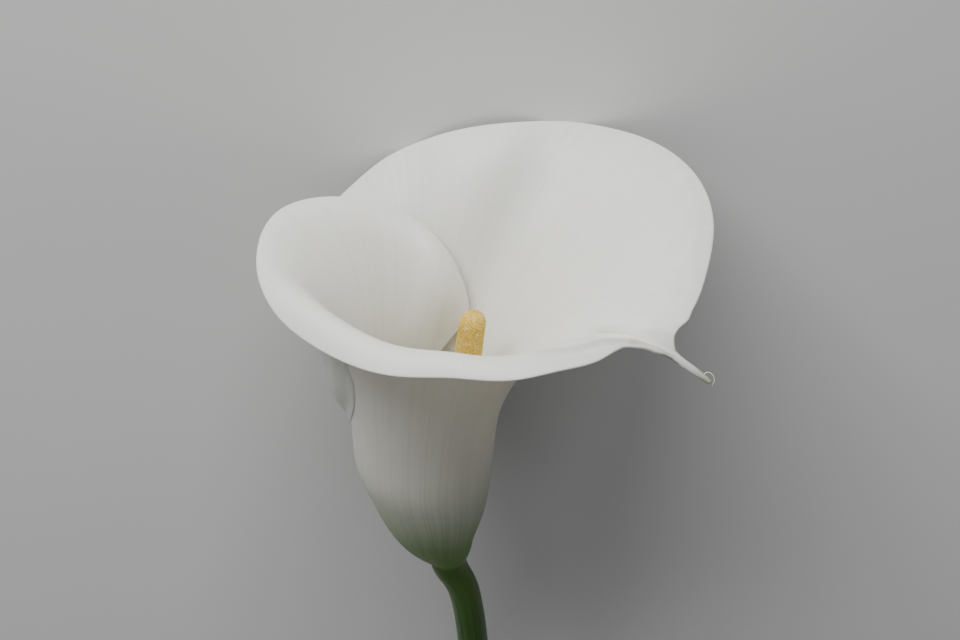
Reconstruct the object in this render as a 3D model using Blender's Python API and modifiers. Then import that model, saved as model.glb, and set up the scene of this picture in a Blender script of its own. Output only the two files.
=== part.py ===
"""A cut calla lily lying on its back: one wrapped spathe, its spadix and its stem.

The flower is modelled upright, in metres, with the foot of the spathe at the origin and its open
mouth towards -Y. One empty then lays it down on the floor, z = 0.
"""
import math

import bmesh
import bpy
import numpy as np

# How the flower lies
LEAN = math.radians(9.1)              # the axis of the bloom over the floor
FLOWER_ORIGIN = (-0.00853, 0.03787, 0.0353)

# The sheet of the spathe
WALL = 0.0009                         # thickness
INNER_WRAP = 77.0                     # wrap angle of the free edge inside the bloom, degrees
OUTER_WRAP = 566.0                    # wrap angle of the free edge outside it
TURN_AT_FOOT = 0.0016                 # how far apart the layers lie after one full turn
TURN_AT_THROAT = 0.0023
EVEN_WRAP = 300.0                     # the wrap angle that keeps the radius of TUBE

# The tube below the bloom: height, radius, x of its centre
TUBE = np.array([
    (0.0000, 0.0045, -0.0013), (0.0030, 0.0066, -0.0024), (0.0070, 0.0088, -0.0039),
    (0.0130, 0.0114, -0.0050), (0.0200, 0.0137, -0.0056), (0.0275, 0.0155, -0.0064),
    (0.0345, 0.0169, -0.0072), (0.0415, 0.0175, -0.0073), (0.0480, 0.0179, -0.0071),
    (0.0550, 0.0186, -0.0068),
])
THROAT = 0.050                        # height where the tube begins to flare
THROAT_DIP = 0.012                    # how much sooner the outer left side flares
DIP_WRAP = 535.0                      # wrap angle in the middle of that side
DIP_REACH = 60.0                      # degrees to each side of it

# How the free edges wind round the tube on their way down to the foot
WIND_REACH = 110.0                    # degrees of the sheet that follow each edge
INNER_WIND = 54.0
INNER_WIND_TOP = 0.062
OUTER_WIND = -85.0
OUTER_WIND_TOP = 0.053
OUTER_WIND_POWER = 0.45
PRESS = 0.30                          # how far the outer edge lies in on the tube, as turns
PRESS_REACH = 24.0                    # degrees of the sheet that come in with it

# The rim: wrap angle in degrees, reach from the axis, height
RIM = np.array([
    (77, 0.0205, 0.0685), (81, 0.0218, 0.0744), (84, 0.0227, 0.0768), (88, 0.0241, 0.0800),
    (92, 0.0254, 0.0822), (97, 0.0273, 0.0846), (102, 0.0296, 0.0864), (107, 0.0324, 0.0878),
    (113, 0.0354, 0.0895), (121, 0.0391, 0.0914), (129, 0.0425, 0.0929), (147, 0.0498, 0.0938),
    (164, 0.0486, 0.0920),
    (178, 0.0456, 0.0920), (198, 0.0417, 0.0920), (219, 0.0383, 0.0920), (249, 0.0358, 0.0921),
    (273, 0.0354, 0.0930), (292, 0.0387, 0.0928), (309, 0.0417, 0.0928), (322, 0.0445, 0.0917),
    (332, 0.0456, 0.0900), (338, 0.0480, 0.0878), (344.3, 0.0518, 0.0854), (353, 0.0577, 0.0884),
    (362, 0.0614, 0.0920), (371, 0.0650, 0.0970), (386, 0.0680, 0.1010), (402, 0.0670, 0.1018),
    (413, 0.0637, 0.1017), (422, 0.0593, 0.1022), (431, 0.0539, 0.1031), (446, 0.0505, 0.1015),
    (454, 0.0507, 0.0991), (462, 0.0521, 0.0955), (470, 0.0522, 0.0922), (477, 0.0520, 0.0884),
    (486, 0.0510, 0.0846), (500, 0.0466, 0.0812), (520, 0.0385, 0.0792), (540, 0.0319, 0.0786),
    (552, 0.0293, 0.0780), (560, 0.0282, 0.0755), (566, 0.0271, 0.0700),
])

# How the sheet rolls over at the rim: wrap angle, slope there in degrees (below zero it has rolled
# past the level), how far it keeps the direction of the throat, and of the rim
ROLL = np.array([
    (77, 40, 0.005, 0.0060), (84, 22, 0.009, 0.0100), (95, 8, 0.014, 0.0130), (113, 6, 0.020, 0.0130),
    (129, 2, 0.025, 0.0095), (147, -3, 0.030, 0.0070), (160, -10, 0.032, 0.0070),
    (175, -27, 0.034, 0.0100), (188, -42, 0.034, 0.0140), (202, -50, 0.034, 0.0168),
    (220, -50, 0.034, 0.0172), (245, -46, 0.034, 0.0160), (265, -44, 0.033, 0.0144),
    (285, -40, 0.033, 0.0132), (315, -20, 0.030, 0.0120), (345, -12, 0.028, 0.0150),
    (362, -10, 0.027, 0.0190), (388, -6, 0.022, 0.0200), (430, 0, 0.018, 0.0180),
    (465, 4, 0.018, 0.0180), (500, 16, 0.012, 0.0150), (520, 64, 0.004, 0.0200),
    (540, 92, 0.005, 0.0260), (566, 90, 0.004, 0.0160),
])

# The tail that the midrib ends in: a thin finger on a broad root
TAIL_WRAP = 344.3
ROOT = 0.0060                         # length
ROOT_HALF = 2.4                       # half its width, as degrees of wrap
ROOT_WAY = np.array([0.64, -0.13, -0.75])
FINGER = 0.0106
FINGER_HALF = 0.95
FINGER_WAY = np.array([0.80, -0.13, -0.57])
TAIL_LEAD = 0.6                       # how much the root and the finger each turn the sheet
TAIL_HANDLE = 1.2                     # how far back the tail's line is led, as shares of its length
SHORTEST = 1e-9                        # metres, so that no length of zero divides

# How finely the sheet is divided
WRAP_STEP = 7.0                       # degrees
TAIL_ZONE = 8.0
TAIL_STEPS = (0.0, 0.3, 0.55, 0.8, 1.05, 1.35, 1.8, 2.6, 4.2)
TUBE_ROWS = 7
TUBE_CROWDING = 1.25                  # over 1, rows lie closer towards the foot
FLARE_ROWS = 12
STEEP = 0.0005                        # how far below the throat its direction is read

# The spadix: points of its middle line, its radius along it, and its florets
SPADIX_LINE = np.array([(-0.0012, 0.0, -0.0003), (0.0008, 0.0010, 0.030), (0.0034, 0.0021, 0.058),
                        (0.0059, 0.0030, 0.0806)])
SPADIX_WIDTH = np.array([(0.0, 0.0027), (0.10, 0.0036), (0.50, 0.0037), (1.0, 0.0032)])
SPADIX_TIP = 0.04                     # share of the length that rounds over
SPADIX_BLUNT = 0.93                   # how far the round goes before it ends flat
FLORETS_ROUND = 10
FLORET_ROWS = 37
FLORET_RISE = 0.0004

# The stem: points of its middle line and its radius, from the foot of the bloom to the cut
STEM_LINE = np.array([
    (-0.0010, 0.0, -0.0009), (-0.0008, 0.0, -0.0025), (0.0009, 0.0, -0.0070),
    (0.0028, 0.0, -0.0120), (0.0040, 0.0, -0.0180), (0.0051, 0.0, -0.0280),
    (0.0062, 0.0, -0.0450), (0.0078, 0.0002, -0.0850), (0.0078, 0.0010, -0.1350),
    (0.0058, 0.00158, -0.1880),
])
STEM_RADIUS = np.array([(0.0, 0.0048), (0.035, 0.0042), (0.10, 0.0040), (1.0, 0.0041)])
STEM_POINTS = 26
STEM_CROWDING = 1.4                   # over 1, its points lie closer towards the bloom
STEM_SIDES = 12
STEM_TILT = math.pi / STEM_SIDES       # turns one flat side down

# The cutter that stands in for the floor, under the bloom
CUT_MIDDLE = (0.0, 0.12, -0.01)
CUT_SIZE = (0.20, 0.12, 0.02)

# Colour and roughness
MATERIALS = {
    "spathe": ((0.88, 0.87, 0.80), 0.45),
    "spadix": ((0.85, 0.62, 0.12), 0.70),
    "stem": ((0.12, 0.24, 0.06), 0.40),
}


def through(keys, column, x):
    """Natural cubic spline through one column of a table whose first column is x."""
    at = keys[:, 0]
    value = keys[:, column]
    step = np.diff(at)
    slope = np.diff(value) / step
    count = len(at)
    system = np.eye(count)
    right = np.zeros(count)
    for k in range(1, count - 1):
        system[k, k - 1:k + 2] = step[k - 1], 2 * (step[k - 1] + step[k]), step[k]
        right[k] = 6 * (slope[k] - slope[k - 1])
    bend = np.linalg.solve(system, right)
    x = np.asarray(x, float)
    i = np.clip(np.searchsorted(at, x, side="right") - 1, 0, count - 2)
    past = x - at[i]
    left = at[i + 1] - x
    return ((bend[i] * left**3 + bend[i + 1] * past**3) / (6 * step[i])
            + (value[i] / step[i] - bend[i] * step[i] / 6) * left
            + (value[i + 1] / step[i] - bend[i + 1] * step[i] / 6) * past)


def along(points, share):
    """Smooth curve through a list of points, at shares of its length from 0 to 1."""
    lengths = np.linalg.norm(np.diff(points, axis=0), axis=1)
    at = np.concatenate([[0.0], np.cumsum(lengths)])
    keys = np.column_stack([at / at[-1], points])
    return np.stack([through(keys, column, share) for column in (1, 2, 3)], axis=-1)


def smooth(t):
    t = np.clip(t, 0.0, 1.0)
    return t * t * (3 - 2 * t)


def heading(degrees):
    a = np.radians(degrees)
    return np.stack([np.cos(a), np.sin(a), np.zeros_like(a)], axis=-1)


def unit(vectors):
    return vectors / np.linalg.norm(vectors, axis=-1, keepdims=True)


def wound(wrap, z):
    """Direction in which a line of the sheet lies at height z of the tube."""
    follow_inner = smooth(1 - (wrap - INNER_WRAP) / WIND_REACH)
    follow_outer = smooth(1 - (OUTER_WRAP - wrap) / WIND_REACH)
    inner = INNER_WIND * np.clip(1 - z / INNER_WIND_TOP, 0.0, 1.0)
    outer = OUTER_WIND * np.clip(1 - z / OUTER_WIND_TOP, 0.0, 1.0) ** OUTER_WIND_POWER
    return wrap + inner * follow_inner + outer * follow_outer


def tube_point(wrap, z):
    turn = TURN_AT_FOOT + (TURN_AT_THROAT - TURN_AT_FOOT) * smooth(z / THROAT)
    pressed = PRESS * smooth(1 - (OUTER_WRAP - wrap) / PRESS_REACH)
    radius = through(TUBE, 1, z) + turn * ((wrap - EVEN_WRAP) / 360 - pressed)
    point = heading(wound(wrap, z)) * radius[..., None]
    point[..., 0] += through(TUBE, 2, z)
    point[..., 2] = z
    return point


def spathe_surface(wrap, tube_share, flare_share):
    """Middle of the sheet. tube_share runs up the tube, then flare_share from throat to rim."""
    wrap, tube_share, flare_share = np.broadcast_arrays(wrap, tube_share, flare_share)
    throat = THROAT - THROAT_DIP * smooth(1 - np.abs(wrap - DIP_WRAP) / DIP_REACH)
    in_tube = tube_point(wrap, throat * tube_share)
    start = tube_point(wrap, throat)
    up = unit(start - tube_point(wrap, throat - STEEP))

    away = np.abs(wrap - TAIL_WRAP)
    finger = np.exp(-(away / FINGER_HALF) ** 3)
    root = np.exp(-(away / ROOT_HALF) ** 2)
    tail = root[..., None] * unit(ROOT_WAY) * ROOT + finger[..., None] * unit(FINGER_WAY) * FINGER
    tail_length = np.linalg.norm(tail, axis=-1, keepdims=True)
    rim = heading(wrap) * through(RIM, 1, wrap)[..., None]
    rim[..., 2] = through(RIM, 2, wrap)
    rim = rim + tail

    slope = np.radians(through(ROLL, 1, wrap))
    out = heading(wrap) * np.cos(slope)[..., None]
    out[..., 2] = np.sin(slope)
    lead = smooth(TAIL_LEAD * (root + finger))[..., None]
    out = unit(out * (1 - lead) + tail / np.maximum(tail_length, SHORTEST) * lead)

    from_throat = start + up * through(ROLL, 2, wrap)[..., None]
    to_rim = rim - out * (through(ROLL, 3, wrap)[..., None] + TAIL_HANDLE * tail_length)
    t = flare_share[..., None]
    flare = ((1 - t) ** 3 * start + 3 * (1 - t) ** 2 * t * from_throat
             + 3 * (1 - t) * t ** 2 * to_rim + t ** 3 * rim)
    return np.where((flare_share > 0)[..., None], flare, in_tube)


def grid_mesh(name, points, wrap_round=False):
    """Mesh of a grid of points. Each cell is two triangles; wrap_round joins the last row to the first."""
    rows, columns = points.shape[:2]
    mesh = bmesh.new()
    verts = [[mesh.verts.new(p) for p in row] for row in points]
    for i in range(rows if wrap_round else rows - 1):
        a = verts[i]
        b = verts[(i + 1) % rows]
        for j in range(columns - 1):
            mesh.faces.new((a[j], b[j], b[j + 1]))
            mesh.faces.new((a[j], b[j + 1], a[j + 1]))
    if wrap_round:
        mesh.faces.new([row[0] for row in reversed(verts)])
        mesh.faces.new([row[-1] for row in verts])
    data = bpy.data.meshes.new(name)
    mesh.to_mesh(data)
    mesh.free()
    return data


def add(name, data, collection, parent):
    body = bpy.data.objects.new(name, data)
    collection.objects.link(body)
    body.parent = parent
    colour, roughness = MATERIALS[name]
    material = bpy.data.materials.new(name)
    material.use_nodes = True
    shader = material.node_tree.nodes["Principled BSDF"]
    shader.inputs["Base Color"].default_value = (*colour, 1.0)
    shader.inputs["Roughness"].default_value = roughness
    shader.inputs["Metallic"].default_value = 0.0
    data.materials.append(material)
    return body


def make_spathe(collection, parent, floor):
    """One sheet with Solidify, cut flat where its back rim would reach below the floor."""
    wraps = np.arange(INNER_WRAP, OUTER_WRAP + 0.1, WRAP_STEP)
    wraps = wraps[np.abs(wraps - TAIL_WRAP) > TAIL_ZONE]
    tail = [TAIL_WRAP + side * step for side in (-1, 1) for step in TAIL_STEPS]
    wraps = np.unique(np.concatenate([wraps, tail]))
    tube = np.linspace(0, 1, TUBE_ROWS) ** TUBE_CROWDING
    flare = np.linspace(0, 1, FLARE_ROWS + 1)[1:]
    tube_share = np.concatenate([tube, np.ones(FLARE_ROWS)])
    flare_share = np.concatenate([np.zeros(TUBE_ROWS), flare])
    points = spathe_surface(wraps[:, None], tube_share[None, :], flare_share[None, :])
    spathe = add("spathe", grid_mesh("spathe", points), collection, parent)
    spathe.data.shade_smooth()
    wall = spathe.modifiers.new("wall", "SOLIDIFY")
    wall.thickness = WALL
    wall.offset = 0.0
    rest = spathe.modifiers.new("rest", "BOOLEAN")
    rest.operation = "DIFFERENCE"
    rest.object = floor
    return spathe


def make_spadix(collection, parent):
    """A finger of florets: a rounded rod whose radius rises at each floret, row by row in between."""
    rings = 2 * FLORET_ROWS
    sides = 2 * FLORETS_ROUND
    share = np.linspace(0, 1, rings + 1)
    middle = along(SPADIX_LINE, share)
    radius = np.interp(share, *SPADIX_WIDTH.T)
    to_tip = np.clip((share - 1 + SPADIX_TIP) / SPADIX_TIP, 0, SPADIX_BLUNT)
    radius = radius * np.sqrt(1 - to_tip**2)
    points = np.zeros((sides, rings + 1, 3))
    for i in range(sides):
        turn = 2 * math.pi * i / sides
        for j in range(rings + 1):
            floret = FLORET_RISE if j % 2 and (i + j // 2) % 2 else 0.0
            reach = radius[j] + floret * (to_tip[j] == 0)
            offset = np.array([math.cos(turn), math.sin(turn), 0.0]) * reach
            points[i, j] = middle[j] + offset
    spadix = add("spadix", grid_mesh("spadix", points, wrap_round=True), collection, parent)
    spadix.data.shade_smooth()
    return spadix


def make_stem(collection, parent):
    """A round stalk: a curve with a bevel, swelling a little under the bloom, cut straight below."""
    share = np.linspace(0, 1, STEM_POINTS) ** STEM_CROWDING
    points = along(STEM_LINE, share)
    curve = bpy.data.curves.new("stem", "CURVE")
    curve.dimensions = "3D"
    curve.bevel_depth = 1.0
    curve.bevel_resolution = STEM_SIDES // 2 - 2
    curve.use_fill_caps = True
    line = curve.splines.new("POLY")
    line.points.add(STEM_POINTS - 1)
    for spot, point, radius in zip(line.points, points, np.interp(share, *STEM_RADIUS.T)):
        spot.co = (*point, 1.0)
        spot.radius = radius
        spot.tilt = STEM_TILT
    return add("stem", curve, collection, parent)


def make_floor(collection):
    """Cutter below z = 0, under the bloom only."""
    bpy.ops.mesh.primitive_cube_add(size=1.0, location=CUT_MIDDLE)
    floor = bpy.context.object
    floor.name = "floor_cutter"
    floor.scale = CUT_SIZE
    for owner in floor.users_collection:
        owner.objects.unlink(floor)
    collection.objects.link(floor)
    floor.display_type = "WIRE"
    floor.hide_render = True
    return floor


def build():
    for old in list(bpy.data.objects):
        bpy.data.objects.remove(old, do_unlink=True)
    scene = bpy.context.scene.collection
    flower = bpy.data.collections.new("calla_lily")
    cutters = bpy.data.collections.new("cutters")
    scene.children.link(flower)
    scene.children.link(cutters)
    axis = bpy.data.objects.new("flower_axis", None)
    flower.objects.link(axis)
    axis.rotation_euler = (LEAN - math.pi / 2, 0.0, 0.0)
    axis.location = FLOWER_ORIGIN
    make_spathe(flower, axis, make_floor(cutters))
    make_spadix(flower, axis)
    make_stem(flower, axis)


build()
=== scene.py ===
"""A cut calla lily lying on its back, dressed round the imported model. Lengths are in metres."""
import math

import bmesh
import bpy
import numpy as np
from mathutils import Matrix, Vector, noise
from mathutils.kdtree import KDTree


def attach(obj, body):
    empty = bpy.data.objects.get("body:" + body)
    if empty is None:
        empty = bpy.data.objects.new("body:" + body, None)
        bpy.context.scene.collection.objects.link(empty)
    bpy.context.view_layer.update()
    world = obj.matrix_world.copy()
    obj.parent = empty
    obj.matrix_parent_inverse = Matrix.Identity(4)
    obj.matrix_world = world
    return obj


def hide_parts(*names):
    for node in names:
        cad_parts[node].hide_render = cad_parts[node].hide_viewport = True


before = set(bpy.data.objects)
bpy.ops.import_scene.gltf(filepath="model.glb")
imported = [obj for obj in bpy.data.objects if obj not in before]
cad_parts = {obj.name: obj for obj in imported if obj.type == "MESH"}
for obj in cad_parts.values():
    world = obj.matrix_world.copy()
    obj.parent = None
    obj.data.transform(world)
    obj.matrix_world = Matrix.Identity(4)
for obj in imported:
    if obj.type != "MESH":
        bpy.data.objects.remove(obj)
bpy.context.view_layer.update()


# The spathe: one fleshy white leaf that wraps once round and past itself, widens into the bloom and
# rolls over at the rim. It is shaped upright in the flower's own frame, with the foot at the origin
# and the mouth towards -Y, and then laid on its back.
LEAN = math.radians(9.1)              # the axis of the bloom over the floor
FLOWER_ORIGIN = np.array([-0.00853, 0.03787, 0.0353])

# How the sheet wraps
INNER_WRAP = 77.0                     # wrap angle of the free edge inside the bloom, degrees
OUTER_WRAP = 566.0                    # wrap angle of the free edge outside it
TURN_AT_FOOT = 0.0016                 # how far apart the layers lie after one full turn
TURN_AT_THROAT = 0.0023
EVEN_WRAP = 300.0                     # the wrap angle that keeps the radius of TUBE

# The tube below the bloom: height, radius, x of its centre
TUBE = np.array([
    (0.0000, 0.0045, -0.0013), (0.0030, 0.0066, -0.0024), (0.0070, 0.0088, -0.0039),
    (0.0130, 0.0114, -0.0050), (0.0200, 0.0137, -0.0056), (0.0275, 0.0155, -0.0064),
    (0.0345, 0.0169, -0.0072), (0.0415, 0.0175, -0.0073), (0.0480, 0.0179, -0.0071),
    (0.0550, 0.0186, -0.0068),
])
THROAT = 0.050                        # height where the tube begins to flare
THROAT_DIP = 0.012                    # how much sooner the outer left side flares
DIP_WRAP = 535.0                      # wrap angle in the middle of that side
DIP_REACH = 60.0                      # degrees to each side of it

# How the free edges wind round the tube on their way down to the foot
WIND_REACH = 110.0                    # degrees of the sheet that follow each edge
INNER_WIND = 54.0
INNER_WIND_TOP = 0.062
OUTER_WIND = -85.0
OUTER_WIND_TOP = 0.053
OUTER_WIND_POWER = 0.45
PRESS = 0.30                          # how far the outer edge lies in on the tube, as turns
PRESS_REACH = 24.0                    # degrees of the sheet that come in with it

# The rim: wrap angle in degrees, reach from the axis, height
RIM = np.array([
    (77, 0.0205, 0.0685), (81, 0.0218, 0.0744), (84, 0.0227, 0.0768), (88, 0.0241, 0.0800),
    (92, 0.0254, 0.0822), (97, 0.0273, 0.0846), (102, 0.0296, 0.0864), (107, 0.0324, 0.0878),
    (113, 0.0354, 0.0895), (121, 0.0391, 0.0914), (129, 0.0425, 0.0929), (147, 0.0498, 0.0938),
    (164, 0.0486, 0.0920),
    (178, 0.0456, 0.0920), (198, 0.0417, 0.0920), (219, 0.0383, 0.0920), (249, 0.0358, 0.0921),
    (273, 0.0354, 0.0930), (292, 0.0387, 0.0928), (309, 0.0417, 0.0928), (322, 0.0445, 0.0917),
    (332, 0.0456, 0.0900), (338, 0.0480, 0.0878), (344.3, 0.0518, 0.0854), (353, 0.0577, 0.0884),
    (362, 0.0614, 0.0920), (371, 0.0650, 0.0970), (386, 0.0680, 0.1010), (402, 0.0670, 0.1018),
    (413, 0.0637, 0.1017), (422, 0.0593, 0.1022), (431, 0.0539, 0.1031), (446, 0.0505, 0.1015),
    (454, 0.0507, 0.0991), (462, 0.0521, 0.0955), (470, 0.0522, 0.0922), (477, 0.0520, 0.0884),
    (486, 0.0510, 0.0846), (500, 0.0466, 0.0812), (520, 0.0385, 0.0792), (540, 0.0319, 0.0786),
    (552, 0.0293, 0.0780), (560, 0.0282, 0.0755), (566, 0.0271, 0.0700),
])

# How the sheet rolls over at the rim: wrap angle, slope there in degrees (below zero it has rolled
# past the level), how far it keeps the direction of the throat, and of the rim
ROLL = np.array([
    (77, 40, 0.005, 0.0060), (84, 22, 0.009, 0.0100), (95, 8, 0.014, 0.0130), (113, 6, 0.020, 0.0130),
    (129, 2, 0.025, 0.0095), (147, -3, 0.030, 0.0070), (160, -10, 0.032, 0.0070),
    (175, -27, 0.034, 0.0100), (188, -42, 0.034, 0.0140), (202, -50, 0.034, 0.0168),
    (220, -50, 0.034, 0.0172), (245, -46, 0.034, 0.0160), (265, -44, 0.033, 0.0144),
    (285, -40, 0.033, 0.0132), (315, -20, 0.030, 0.0120), (345, -12, 0.028, 0.0150),
    (362, -10, 0.027, 0.0190), (388, -6, 0.022, 0.0200), (430, 0, 0.018, 0.0180),
    (465, 4, 0.018, 0.0180), (500, 16, 0.012, 0.0150), (520, 64, 0.004, 0.0200),
    (540, 92, 0.005, 0.0260), (566, 90, 0.004, 0.0160),
])

# The tail that the midrib ends in: a thin finger on a broad root
TAIL_WRAP = 344.3
ROOT = 0.0060                         # length
ROOT_HALF = 2.4                       # half its width, as degrees of wrap
ROOT_WAY = np.array([0.64, -0.13, -0.75])
FINGER = 0.0106
FINGER_HALF = 0.95
FINGER_WAY = np.array([0.80, -0.13, -0.57])
TAIL_LEAD = 0.6                       # how much the root and the finger each turn the sheet
TAIL_HANDLE = 1.2                     # how far back the tail's line is led, as shares of its length
STEEP = 0.0005                        # how far below the throat its direction is read
SHORTEST = 1e-9                       # metres, so that no length of zero divides


def through(keys, column, x):
    """Natural cubic spline through one column of a table whose first column is x."""
    at = keys[:, 0]
    value = keys[:, column]
    step = np.diff(at)
    slope = np.diff(value) / step
    count = len(at)
    system = np.eye(count)
    right = np.zeros(count)
    for k in range(1, count - 1):
        system[k, k - 1:k + 2] = step[k - 1], 2 * (step[k - 1] + step[k]), step[k]
        right[k] = 6 * (slope[k] - slope[k - 1])
    bend = np.linalg.solve(system, right)
    x = np.asarray(x, float)
    i = np.clip(np.searchsorted(at, x, side="right") - 1, 0, count - 2)
    past = x - at[i]
    left = at[i + 1] - x
    return ((bend[i] * left**3 + bend[i + 1] * past**3) / (6 * step[i])
            + (value[i] / step[i] - bend[i] * step[i] / 6) * left
            + (value[i + 1] / step[i] - bend[i + 1] * step[i] / 6) * past)


def smooth(t):
    """Eased from 0 to 1, as t goes from 0 to 1."""
    t = np.clip(t, 0.0, 1.0)
    return t * t * (3 - 2 * t)


def ramp(value, start, stop):
    """Eased from 0 to 1, as value goes from start to stop."""
    return smooth((value - start) / (stop - start))


def heading(degrees):
    """Level direction at an angle round the axis."""
    a = np.radians(degrees)
    return np.stack([np.cos(a), np.sin(a), np.zeros_like(a)], axis=-1)


def unit(vectors):
    return vectors / np.linalg.norm(vectors, axis=-1, keepdims=True)


def wound(wrap, z):
    """Direction in which a line of the sheet lies at height z of the tube."""
    follow_inner = smooth(1 - (wrap - INNER_WRAP) / WIND_REACH)
    follow_outer = smooth(1 - (OUTER_WRAP - wrap) / WIND_REACH)
    inner = INNER_WIND * np.clip(1 - z / INNER_WIND_TOP, 0.0, 1.0)
    outer = OUTER_WIND * np.clip(1 - z / OUTER_WIND_TOP, 0.0, 1.0) ** OUTER_WIND_POWER
    return wrap + inner * follow_inner + outer * follow_outer


def tube_point(wrap, z):
    """Middle of the sheet at height z of the tube."""
    turn = TURN_AT_FOOT + (TURN_AT_THROAT - TURN_AT_FOOT) * smooth(z / THROAT)
    pressed = PRESS * smooth(1 - (OUTER_WRAP - wrap) / PRESS_REACH)
    radius = through(TUBE, 1, z) + turn * ((wrap - EVEN_WRAP) / 360 - pressed)
    point = heading(wound(wrap, z)) * radius[..., None]
    point[..., 0] += through(TUBE, 2, z)
    point[..., 2] = z
    return point


def spathe_surface(wrap, tube_share, flare_share):
    """Middle of the sheet. tube_share runs up the tube, then flare_share from throat to rim."""
    wrap, tube_share, flare_share = np.broadcast_arrays(wrap, tube_share, flare_share)
    throat = THROAT - THROAT_DIP * smooth(1 - np.abs(wrap - DIP_WRAP) / DIP_REACH)
    in_tube = tube_point(wrap, throat * tube_share)
    start = tube_point(wrap, throat)
    up = unit(start - tube_point(wrap, throat - STEEP))

    away = np.abs(wrap - TAIL_WRAP)
    finger = np.exp(-(away / FINGER_HALF) ** 3)
    root = np.exp(-(away / ROOT_HALF) ** 2)
    tail = root[..., None] * unit(ROOT_WAY) * ROOT + finger[..., None] * unit(FINGER_WAY) * FINGER
    tail_length = np.linalg.norm(tail, axis=-1, keepdims=True)
    rim = heading(wrap) * through(RIM, 1, wrap)[..., None]
    rim[..., 2] = through(RIM, 2, wrap)
    rim = rim + tail

    slope = np.radians(through(ROLL, 1, wrap))
    out = heading(wrap) * np.cos(slope)[..., None]
    out[..., 2] = np.sin(slope)
    lead = smooth(TAIL_LEAD * (root + finger))[..., None]
    out = unit(out * (1 - lead) + tail / np.maximum(tail_length, SHORTEST) * lead)

    from_throat = start + up * through(ROLL, 2, wrap)[..., None]
    to_rim = rim - out * (through(ROLL, 3, wrap)[..., None] + TAIL_HANDLE * tail_length)
    t = flare_share[..., None]
    flare = ((1 - t) ** 3 * start + 3 * (1 - t) ** 2 * t * from_throat
             + 3 * (1 - t) * t ** 2 * to_rim + t ** 3 * rim)
    return np.where((flare_share > 0)[..., None], flare, in_tube)


# Lines of the sheet, from foot to rim: closer at its free edges, round the tail and over the folds
EVEN_LINES = 276
EDGE_ZONE = 3.0                       # degrees, as all of these
EDGE_STEPS = np.array([0.0, 0.1, 0.28, 0.55, 0.95, 1.5])
TAIL_ZONE = 8.4
TAIL_STEPS = np.concatenate([np.linspace(0, 1.9, 25), np.linspace(2.05, 3.6, 9),
                             np.linspace(3.9, 7.9, 8)])
FOLD_ZONE = (305.0, 336.2)
FOLD_LINES = np.arange(306.0, 335.6, 0.85)
even = np.linspace(INNER_WRAP + EDGE_ZONE, OUTER_WRAP - EDGE_ZONE, EVEN_LINES)
even = even[np.abs(even - TAIL_WRAP) > TAIL_ZONE]
even = even[(even < FOLD_ZONE[0]) | (even > FOLD_ZONE[1])]
wraps = np.unique(np.concatenate([
    INNER_WRAP + EDGE_STEPS, OUTER_WRAP - EDGE_STEPS, even, FOLD_LINES,
    TAIL_WRAP - TAIL_STEPS, TAIL_WRAP + TAIL_STEPS]))

# Rows of the sheet, across it: up the tube, through the flare, and close together at the rim
TUBE_ROWS = 24
TUBE_CROWDING = 1.15                  # over 1, rows lie closer towards the foot
FLARE_PARTS = [(0.0, 0.70, 33), (0.70, 0.986, 35)]     # from, to, rows
RIM_ROWS = [0.9895, 0.9930, 0.9958, 0.9980, 0.9993, 1.0]
tube_rows = np.linspace(0, 1, TUBE_ROWS) ** TUBE_CROWDING
flare_rows = [np.linspace(start, stop, rows + 1)[1:] for start, stop, rows in FLARE_PARTS]
flare_rows = np.concatenate([*flare_rows, RIM_ROWS])
tube_share = np.concatenate([tube_rows, np.ones(len(flare_rows))])
flare_share = np.concatenate([np.zeros(len(tube_rows)), flare_rows])
middle = spathe_surface(wraps[:, None], tube_share[None, :], flare_share[None, :])


def search_tree(points):
    """Tree that finds the nearest of these points."""
    tree = KDTree(len(points))
    for k, p in enumerate(points):
        tree.insert(p, k)
    tree.balance()
    return tree


# The free edge outside lies down on the layer under it
LAID_REACH = 16.0                     # degrees of the sheet that lie down
LAID_GAP = 0.00052                    # between the middles of the two layers
LAID_NEAR = 0.0022                    # all of the edge this close to the layer lies down
LAID_FAR = 0.0034                     # and none of it this far away
UNDER_TO = 240.0                      # wrap angle up to which that layer is looked at
UNDER_STEP = 0.75
UNDER_FLARE_TO = 0.7                  # and the share of its flare
UNDER_TUBE = 180                      # its rows up the tube, and in the flare
UNDER_FLARE = 110
under_wraps = np.arange(INNER_WRAP, UNDER_TO, UNDER_STEP)
under_share = np.concatenate([np.linspace(0, 1, UNDER_TUBE), np.ones(UNDER_FLARE)])
under_flare = np.linspace(0, UNDER_FLARE_TO, UNDER_FLARE + 1)[1:]
under_flare = np.concatenate([np.zeros(UNDER_TUBE), under_flare])
under = spathe_surface(under_wraps[:, None], under_share[None, :], under_flare[None, :])
layer_below = search_tree(under.reshape(-1, 3))
for i in np.where(wraps > OUTER_WRAP - LAID_REACH)[0]:
    weight = smooth(1 - (OUTER_WRAP - wraps[i]) / LAID_REACH)
    for j, p in enumerate(middle[i].copy()):
        spot, _, gone = layer_below.find(p)
        pull = weight * max(0.0, gone - LAID_GAP) * ramp(gone, LAID_FAR, LAID_NEAR)
        middle[i, j] = p + (np.array(spot) - p) / gone * pull

# A small corner of the rim, just above the tail
CORNER_WRAP = 351.6
CORNER_HALF = 1.3                     # half its width, in degrees
CORNER_REACH = 0.0006
CORNER_FROM = 0.90                    # share of the flare at which it begins
corner = np.exp(-((wraps - CORNER_WRAP) / CORNER_HALF) ** 2)[:, None] * ramp(flare_share, CORNER_FROM, 1.0)
middle = middle + heading(wraps)[:, None, :] * corner[..., None] * CORNER_REACH

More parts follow.
